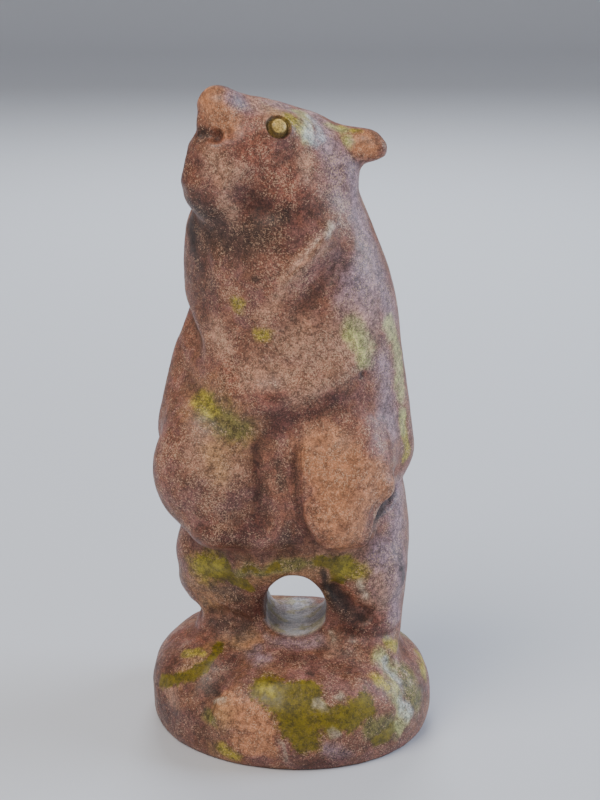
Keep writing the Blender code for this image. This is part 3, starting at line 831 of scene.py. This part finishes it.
tree = skin_tree(skin)
points = read_points(skin)
noise.seed_set(RAGGED_SEED)
drift = np.array([noise.noise_vector(Vector(point) / RAGGED_SIZE) for point in points])
ragged_points = points + drift * RAGGED_REACH
for mineral, patches in PATCHES.items():
    fields = [patch_field(ragged_points, tree, path, reach) for path, reach in patches]
    store_field(skin, mineral, np.clip(np.max(fields, axis=0), FIELD_LOWEST, 1))
print("stored", len(PATCHES), "mineral fields")

# %% [markdown]
# ## The pale floor of the drilled gap: a vein, and painted light on it
# Through the hole between the legs a pale, bluish grey floor shows, with a little green in it: the
# drill met a vein there, and the floor also catches a bright, glossy reflection, which is painted
# into its colour here. Its field is worked out from the hole itself and not from places on the
# skin. It is 1 along the middle of the hole, falls to 0 just past the hole's wall, and fades out
# with the height, so that only the floor is pale.

# %% Measure what lies inside the drilled gap
GAP_FRONT = Vector((1.8, -4.4, 19.4)) * MM
GAP_BACK = Vector((-0.6, 9.0, 18.8)) * MM
GAP_REACH = 5.1 * MM
GAP_FLOOR_TOP = 17.0 * MM
GAP_FLOOR_FADE = 4 * MM

in_gap = 1 - distance_to_line(points, GAP_FRONT, GAP_BACK) / GAP_REACH
in_gap = np.minimum(in_gap, (GAP_FLOOR_TOP - ragged_points[:, 2]) / GAP_FLOOR_FADE)
store_field(skin, "gap_vein_and_reflection", np.clip(in_gap, FIELD_LOWEST, 1))
print("the vein runs", round((GAP_BACK - GAP_FRONT).length / MM, 1), "mm into the gap")

# %% [markdown]
# ## Eyes, hollows and wear
# Three more fields help the stone look handled. In the eyes' grooves it is dark olive and on their
# beads a pale tan. In the folds polishing dust and shade make it darker. The depth of a fold is how
# far the skin lies below a strongly smoothed copy of itself.

# %% Measure the eyes and the hollows
HOLLOW_ROUNDS = 60
HOLLOW_DEPTH = 0.22 * MM
BEAD_FIELD_TOP = 1.5
OIL_REACH = 0.25 * MM
OIL_FADE = 0.3 * MM

edges = edge_ends(skin)
from_eye = np.min([np.linalg.norm(points - np.array(centre), axis=1) for centre in eyes], axis=0)
store_field(skin, "eye_bead", np.clip(BEAD_FIELD_TOP - from_eye / EYE_BEAD, 0, 1))
store_field(skin, "eye_groove", np.clip((EYE_RING + OIL_REACH - from_eye) / OIL_FADE, 0, 1))
below = ((smoothed(points, edges, HOLLOW_ROUNDS) - points) * read_normals(skin)).sum(axis=1)
store_field(skin, "hollow", np.clip(below / HOLLOW_DEPTH, -1, 1))
print("the folds lie up to", round(below.max() / MM, 2), "mm below their surroundings")

# %% [markdown]
# ## The stone
# The shader is built in layers, as the eye reads the stone: a pink-brown rock that varies over a
# few millimetres, the mineral patches laid over it, and last the fine pale grains that run through
# everything. All of it is procedural and fixed to the object, so the pattern is part of the stone
# from every side.

# %% Helpers for building a shader
stone = bpy.data.materials.new("speckled_stone")
stone.use_nodes = True
surface = stone.node_tree.nodes["Principled BSDF"]


def node(kind, inputs=None, **settings):
    """A shader node with its settings, and with each input either linked or given a value."""
    made = stone.node_tree.nodes.new(kind)
    for name, value in settings.items():
        setattr(made, name, value)
    for socket, value in (inputs or {}).items():
        if isinstance(value, bpy.types.NodeSocket):
            stone.node_tree.links.new(value, made.inputs[socket])
        else:
            made.inputs[socket].default_value = value
    return made


def colour(red, green, blue):
    """A colour as it is seen on screen, 0 to 255, for a shader."""
    def linear(value):
        share = value / 255
        return share / 12.92 if share <= 0.04045 else ((share + 0.055) / 1.055) ** 2.4
    return (linear(red), linear(green), linear(blue), 1.0)


def mixed(share, first, second):
    made = node("ShaderNodeMix", data_type="RGBA")
    for socket, value in ((0, share), (6, first), (7, second)):
        if isinstance(value, bpy.types.NodeSocket):
            stone.node_tree.links.new(value, made.inputs[socket])
        else:
            made.inputs[socket].default_value = value
    return made.outputs[2]


def maths(operation, first, second):
    return node("ShaderNodeMath", {0: first, 1: second}, operation=operation).outputs[0]


def between(value, low, high, start=0.0, end=1.0):
    """Maps a value smoothly: start below low, end above high."""
    inputs = {"Value": value, "From Min": low, "From Max": high, "To Min": start, "To Max": end}
    return node("ShaderNodeMapRange", inputs, interpolation_type="SMOOTHSTEP").outputs[0]


def between_straight(value, low, high, start, end):
    """Maps a value in proportion, and holds it at the ends."""
    inputs = {"Value": value, "From Min": low, "From Max": high, "To Min": start, "To Max": end}
    return node("ShaderNodeMapRange", inputs).outputs[0]


def cloud(size, detail=3.0, roughness=0.6, place=None):
    """A soft noise whose lumps are about the given size across, in metres."""
    inputs = {"Vector": place or where, "Scale": 1 / size, "Detail": detail, "Roughness": roughness}
    return node("ShaderNodeTexNoise", inputs).outputs[0]


def field(name):
    return node("ShaderNodeAttribute", attribute_name=name).outputs["Fac"]


where = node("ShaderNodeTexCoord").outputs["Object"]
shifted = node("ShaderNodeVectorMath", {0: where, 1: (0.31, 0.17, 0.23)}, operation="ADD").outputs[0]
print("the shader starts with", len(stone.node_tree.nodes), "nodes")

# %% The pink-brown rock
ROSE = colour(119, 74, 56)
MAUVE = colour(120, 80, 74)
TAN = colour(105, 69, 50)
BLUSH = colour(138, 95, 76)
BLOTCH_SIZE = 5.5 * MM
CLOUD_SIZE = 3.1 * MM

blotches = cloud(BLOTCH_SIZE, 3.0)
clouds = cloud(CLOUD_SIZE, 2.0, 0.6, shifted)
rock = mixed(between(blotches, 0.36, 0.6), TAN, ROSE)
rock = mixed(between(clouds, 0.4, 0.66, 0, 0.8), rock, MAUVE)
rock = mixed(between(clouds, 0.5, 0.3, 0, 0.45), rock, BLUSH)
print("the rock varies over", round(BLOTCH_SIZE / MM, 1), "mm and", round(CLOUD_SIZE / MM, 1), "mm")

# %% [markdown]
# ## The vein in the gap, and painted light on it
# The vein's tones are nearly white, far paler than they look in the picture, because so little
# light reaches the floor of the hole: the extra paleness is painted light, standing for the glossy
# reflection that the floor catches. A finer noise turns it grey in places and a coarser one adds
# the green.

# %% The pale vein and the painted light on the gap's floor
# Near-white tones: the vein's colour with painted light, brightening the shaded floor of the hole
PALE_VEIN_AND_REFLECTION = colour(250, 253, 255)
GREY_VEIN_AND_REFLECTION = colour(222, 230, 238)
GREEN_VEIN_AND_REFLECTION = colour(226, 228, 184)
GREY_PLACES_SIZE = 1.2 * MM
GREEN_PLACES_SIZE = 2.4 * MM

grey_places = cloud(GREY_PLACES_SIZE, 2.0)
green_places = cloud(GREEN_PLACES_SIZE, 2.0, 0.5, shifted)
vein_and_reflection = mixed(between(grey_places, 0.4, 0.6), GREY_VEIN_AND_REFLECTION, PALE_VEIN_AND_REFLECTION)
vein_and_reflection = mixed(between(green_places, 0.5, 0.6, 0, 0.8), vein_and_reflection, GREEN_VEIN_AND_REFLECTION)
# Where the gap's pale floor, vein and painted reflection together, replaces the rock
in_vein_and_reflection = between(field("gap_vein_and_reflection"), -0.14, 0.16)
rock = mixed(in_vein_and_reflection, rock, vein_and_reflection)
print("the vein shows only on the floor of the gap")

# %% [markdown]
# ## The minerals
# The soft minerals only tint the rock, so the rock still shows through them. The hard ones cover
# it. The edge of each is roughened with two sizes of noise, because a clean edge would look like
# paint. Each mineral has its tone, how much of the rock it covers, how slowly it fades in from its
# edge, and how ragged that edge is.

# %% Lay the minerals over the rock
MINERALS = {
    # lilac: mauve stone, and a painted cool sheen on the bear's left side
    "lilac_and_sheen": (colour(144, 120, 128), 0.7, 0.9, 0.5),
    "rust": (colour(128, 72, 54), 0.6, 0.9, 0.5),
    # umber: dark brown stone, and painted shade in the folds and under the jaw
    "umber_and_shade": (colour(84, 51, 39), 0.65, 0.9, 0.5),
    # peach: pale orange stone, and painted highlights
    "peach_and_highlight": (colour(168, 124, 100), 0.75, 0.9, 0.5),
    "ember": (colour(180, 121, 84), 0.9, 0.5, 0.4),
    "honey": (colour(158, 120, 76), 0.6, 0.9, 0.6),
    # garnet: dark red stone, and painted shade in creases and under the jaw and nose
    "garnet_and_shade": (colour(80, 38, 31), 0.65, 0.9, 0.5),
    # smoke: dark stone, and painted shade on the throat and under the chin
    "smoke_and_shade": (colour(64, 47, 38), 0.7, 0.8, 0.6),
    "moss": (colour(100, 98, 44), 0.8, 0.6, 0.6),
    "olive": (colour(106, 91, 0), 1.0, 0.3, 0.8),
    "lichen": (colour(156, 142, 40), 0.8, 0.6, 0.6),
    "celadon": (colour(168, 168, 108), 0.75, 0.7, 0.9),
    "frost": (colour(178, 182, 184), 0.6, 0.9, 1.2),
    "quartz": (colour(186, 172, 150), 0.6, 0.9, 1.2),
    # soot: black specks, and painted shade beside the paw and in pits
    "soot_and_shade": (colour(38, 30, 26), 0.8, 0.9, 0.7),
}
RAGGED_STRENGTH = 2.4
DARKER = 0.6

coarse_rags = maths("MULTIPLY", cloud(0.9 * MM, 3.0), 0.65)
fine_rags = maths("MULTIPLY", cloud(0.3 * MM), 0.35)
raggedness = maths("SUBTRACT", maths("ADD", coarse_rags, fine_rags), 0.5)
shade = cloud(0.8 * MM, 3.0, 0.7)
for mineral, (tone, cover, softness, ragged) in MINERALS.items():
    edge = maths("ADD", field(mineral), maths("MULTIPLY", raggedness, ragged * RAGGED_STRENGTH))
    share = between(edge, -softness, softness, 0, cover)
    dark = tuple(channel * DARKER for channel in tone[:3]) + (1.0,)
    rock = mixed(share, rock, mixed(between(shade, 0.34, 0.6), dark, tone))
print("laid", len(MINERALS), "minerals")

# %% [markdown]
# ## The eyes and the folds
# These go under the grain as well, because the bead of the eye is the same stone as the rest: it
# only looks paler where its top is polished, and its groove looks olive where dust and oil have
# gathered.

# %% Tint the eyes and the folds
EYE_TAN = colour(181, 151, 78)
EYE_OLIVE = colour(92, 74, 22)
FOLD_SHADE = colour(60, 36, 29)
EYE_COVER = 0.9
FOLD_COVER = 0.32

rock = mixed(between(field("eye_groove"), 0.1, 0.9, 0, EYE_COVER), rock, EYE_OLIVE)
rock = mixed(between(field("eye_bead"), 0.45, 0.65, 0, EYE_COVER), rock, EYE_TAN)
in_fold = between(field("hollow"), 0.15, 1.0, 0, FOLD_COVER)
in_fold = maths("MULTIPLY", in_fold, maths("SUBTRACT", 1.0, in_vein_and_reflection))
rock = mixed(in_fold, rock, FOLD_SHADE)
print("the folds are shaded by up to", round(100 * FOLD_COVER), "percent")

# %% [markdown]
# ## The grain
# Close up, the whole stone is a tight mixture of dark and pale grains, a fifth of a millimetre
# across, and it is this that tells it from painted clay. Several noises of nearly equal strength,
# from a sixth of a millimetre to two millimetres, make the colour under them lighter or darker. One
# noise with many octaves would fade toward the fine end, which looks soft and cloudy. The olive and
# orange parts and the gap's floor, a vein with painted light on it, are more even, so the grain is
# calmer there.

# %% Lighten and darken the grain
GRAIN_SIZES = ((0.17 * MM, 2.3), (0.34 * MM, 1.9), (0.8 * MM, 1.4), (1.9 * MM, 1.2))

grain = 0.0
for size, strength in GRAIN_SIZES:
    grain = maths("ADD", maths("MULTIPLY", maths("SUBTRACT", cloud(size, 1.0), 0.5), strength), grain)
calm = maths("MULTIPLY", between(field("olive"), -0.1, 0.4, 1.0, 0.5), between(in_vein_and_reflection, 0, 1, 1.0, 0.2))
calm = maths("MULTIPLY", calm, between(field("ember"), 0.0, 0.6, 1.0, 0.6))
gain = between_straight(maths("MULTIPLY", grain, calm), -0.5, 1.2, 0.6, 2.2)
rock = node("ShaderNodeVectorMath", {0: rock, 3: gain}, operation="SCALE").outputs[0]
print("the grain has", len(GRAIN_SIZES), "sizes")

# %% [markdown]
# ## Pale cleavage marks
# Here and there a pale crystal was cut across, and shows as a short bright dash. A noise crosses
# its middle value along thin winding lines. Showing only those lines gives the dashes, and a second
# noise cuts them short. They crowd together in clouds, and where the sugar patches lie. In the
# olive parts, the eyes and the gap they are few.

# %% Scatter the dashes
DASH = colour(232, 190, 156)
CROWD_SIZE = 2.6 * MM
LINE_CORE = 0.35
PIECE_SHARE = 0.55
PIECE_FADE = 0.05
DASH_KINDS = ((0.46 * MM, 0.05, 0.58, where), (0.36 * MM, 0.055, 0.6, shifted))


def dashes(size, half_width, keep, place):
    """Short pieces of winding lines: keep says how few, from 0 to 1."""
    winding = maths("ABSOLUTE", maths("SUBTRACT", cloud(size, 1.0, 0.5, place), 0.5), 0.0)
    line = between(winding, half_width, half_width * LINE_CORE, 0, 1)
    pieces = maths("ADD", cloud(size * PIECE_SHARE, 0.0, 0.5, place), crowding)
    piece = between(pieces, keep, keep + PIECE_FADE)
    return maths("MULTIPLY", line, piece)


crowding = maths("MULTIPLY", maths("SUBTRACT", cloud(CROWD_SIZE, 3.0), 0.5), 0.9)
crowding = maths("ADD", crowding, between(field("sugar"), -0.6, 0.8, -0.02, 0.12))
marks = 0.0
for kind in DASH_KINDS:
    marks = maths("MAXIMUM", dashes(*kind), marks)
covered = maths("MAXIMUM", maths("MAXIMUM", field("olive"), field("soot_and_shade")), field("eye_groove"))
covered = maths("MAXIMUM", covered, field("gap_vein_and_reflection"))
plain_places = between(covered, -0.2, 0.2, 0.85, 0.08)
marks = maths("MULTIPLY", marks, plain_places)
marks = maths("MULTIPLY", marks, between(field("umber_and_shade"), -0.2, 0.8, 1.0, 0.7))
marks = maths("MULTIPLY", marks, between(field("hollow"), 0.1, 0.8, 1.0, 0.35))
rock = mixed(marks, rock, DASH)
print("the dashes lie on", len(DASH_KINDS), "webs of fine lines")

# %% [markdown]
# ## Polish
# The carving was tumbled to a satin polish. The pale crystals are harder and shine more, the folds
# stay dull. A faint bump at the size of the grains breaks the highlights up, and a little light
# sinks into the stone, most of it red, which keeps its thin parts from looking like painted
# plaster.

# %% Finish the surface
POLISH_SIZE = 1.1 * MM
POLISHED = 0.4
DULL = 0.58
FOLD_DULLER = 0.2
CRYSTAL_SHINE = 0.12
GRAIN_RELIEF = 0.22
CRYSTAL_RELIEF = 0.4
RELIEF_HEIGHT = 0.05 * MM

stone_polish = between(cloud(POLISH_SIZE), 0.3, 0.7, POLISHED, DULL)
roughness = maths("ADD", stone_polish, between(field("hollow"), 0, 1, 0, FOLD_DULLER))
roughness = maths("SUBTRACT", roughness, maths("MULTIPLY", marks, CRYSTAL_SHINE))
relief = maths("ADD", maths("MULTIPLY", grain, GRAIN_RELIEF), maths("MULTIPLY", marks, CRYSTAL_RELIEF))
bump = node("ShaderNodeBump", {"Height": relief, "Strength": 0.5, "Distance": RELIEF_HEIGHT})

links = stone.node_tree.links
links.new(rock, surface.inputs["Base Color"])
links.new(roughness, surface.inputs["Roughness"])
links.new(bump.outputs[0], surface.inputs["Normal"])
surface.inputs["Subsurface Weight"].default_value = 0.1
surface.inputs["Subsurface Radius"].default_value = (1.0, 0.55, 0.4)
surface.inputs["Subsurface Scale"].default_value = 0.8 * MM
surface.inputs["IOR"].default_value = 1.54
surface.inputs["Specular IOR Level"].default_value = 0.4
skin.materials.clear()
skin.materials.append(stone)
print("the stone's shader has", len(stone.node_tree.nodes), "nodes")

# %% [markdown]
# ## In the model's place
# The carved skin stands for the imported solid: the two share one place, one size and one stone, and
# only the skin is shown. Smooth shading hides the last edges of its small squares.

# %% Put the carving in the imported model's place
for face in skin.polygons:
    face.use_smooth = True
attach(bear, "root")
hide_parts("bear_carving")
triangles = sum(len(face.vertices) - 2 for face in skin.polygons)
print("the carved bear has", triangles, "triangles")

# %% [markdown]
# ## The studio
# A pale sheet lies under the carving and curves up behind it, so the camera sees no edge. The light
# is soft. A large warm lamp hangs up to the left and in front. A cooler one at the right draws the
# sheen along the bear's left side, as a window would. A small one behind shines through the hole
# between the legs onto its floor, and is kept out of the polish, where it would show as a spot. A
# pale sky fills the rest.

# %% Lay the floor
FLOOR_FRONT = 4.0
FLOOR_BACK = 0.9
FLOOR_WIDTH = 8.0
BEND_RADIUS = 0.3
WALL_HEIGHT = 1.6
BEND_STEPS = 16

profile = [(-FLOOR_FRONT, 0.0), (FLOOR_BACK, 0.0)]
for step in range(1, BEND_STEPS + 1):
    angle = math.radians(90) * step / BEND_STEPS
    profile.append((FLOOR_BACK + BEND_RADIUS * math.sin(angle), BEND_RADIUS * (1 - math.cos(angle))))
profile.append((FLOOR_BACK + BEND_RADIUS, WALL_HEIGHT))

sheet = bmesh.new()
rows = []
for away, up in profile:
    rows.append([
        sheet.verts.new(to_right * side * FLOOR_WIDTH / 2 - to_camera * away + Vector((0, 0, up)))
        for side in (-1, 1)
    ])
for (left, right), (far_left, far_right) in zip(rows, rows[1:]):
    sheet.faces.new((left, right, far_right, far_left))
floor = bpy.data.objects.new("floor", bpy.data.meshes.new("floor"))
sheet.to_mesh(floor.data)
sheet.free()
for face in floor.data.polygons:
    face.use_smooth = True
bpy.context.scene.collection.objects.link(floor)
print("the floor is", FLOOR_WIDTH, "m wide")

# %% Paint the floor
FLOOR_GREY = colour(206, 208, 214)
FLOOR_ROUGHNESS = 0.6

paint = bpy.data.materials.new("pale_floor")
paint.use_nodes = True
coat = paint.node_tree.nodes["Principled BSDF"]
coat.inputs["Base Color"].default_value = FLOOR_GREY
coat.inputs["Roughness"].default_value = FLOOR_ROUGHNESS
floor.data.materials.append(paint)
print("the floor is pale grey")

# %% Hang the lamps
LAMP_AIM = Vector((0, 0, 45 * MM))
WARM = (1.0, 0.94, 0.86)
WINDOW_BLUE = (0.70, 0.82, 1.0)
COOL = (0.90, 0.95, 1.0)
SKY = (0.86, 0.86, 0.89, 1)
SKY_STRENGTH = 0.34


def lamp(name, place, size, power, tint):
    """A round lamp aimed at the middle of the bear, its size in metres and its power in watts."""
    made = bpy.data.objects.new(name, bpy.data.lights.new(name, "AREA"))
    made.data.shape = "DISK"
    made.data.size = size
    made.data.energy = power
    made.data.color = tint
    made.location = place
    made.rotation_euler = (LAMP_AIM - place).to_track_quat("-Z", "Y").to_euler()
    bpy.context.scene.collection.objects.link(made)
    return made


up = Vector((0, 0, 1))
lamp("key", -to_right * 0.25 + to_camera * 0.32 + up * 0.60, 0.45, 3.9, WARM)
lamp("window", to_right * 0.60 - to_camera * 0.05 + up * 0.30, 0.45, 4.2, WINDOW_BLUE)
back_lamp = lamp("back", -to_camera * 0.48 + up * 0.38, 0.3, 2.2, COOL)
back_lamp.visible_glossy = False

world = bpy.data.worlds.new("studio")
world.use_nodes = True
world.node_tree.nodes["Background"].inputs["Color"].default_value = SKY
world.node_tree.nodes["Background"].inputs["Strength"].default_value = SKY_STRENGTH
bpy.context.scene.world = world
print("three lamps and a pale sky")

# %% Bring the scene up to date and finish
bpy.context.view_layer.update()
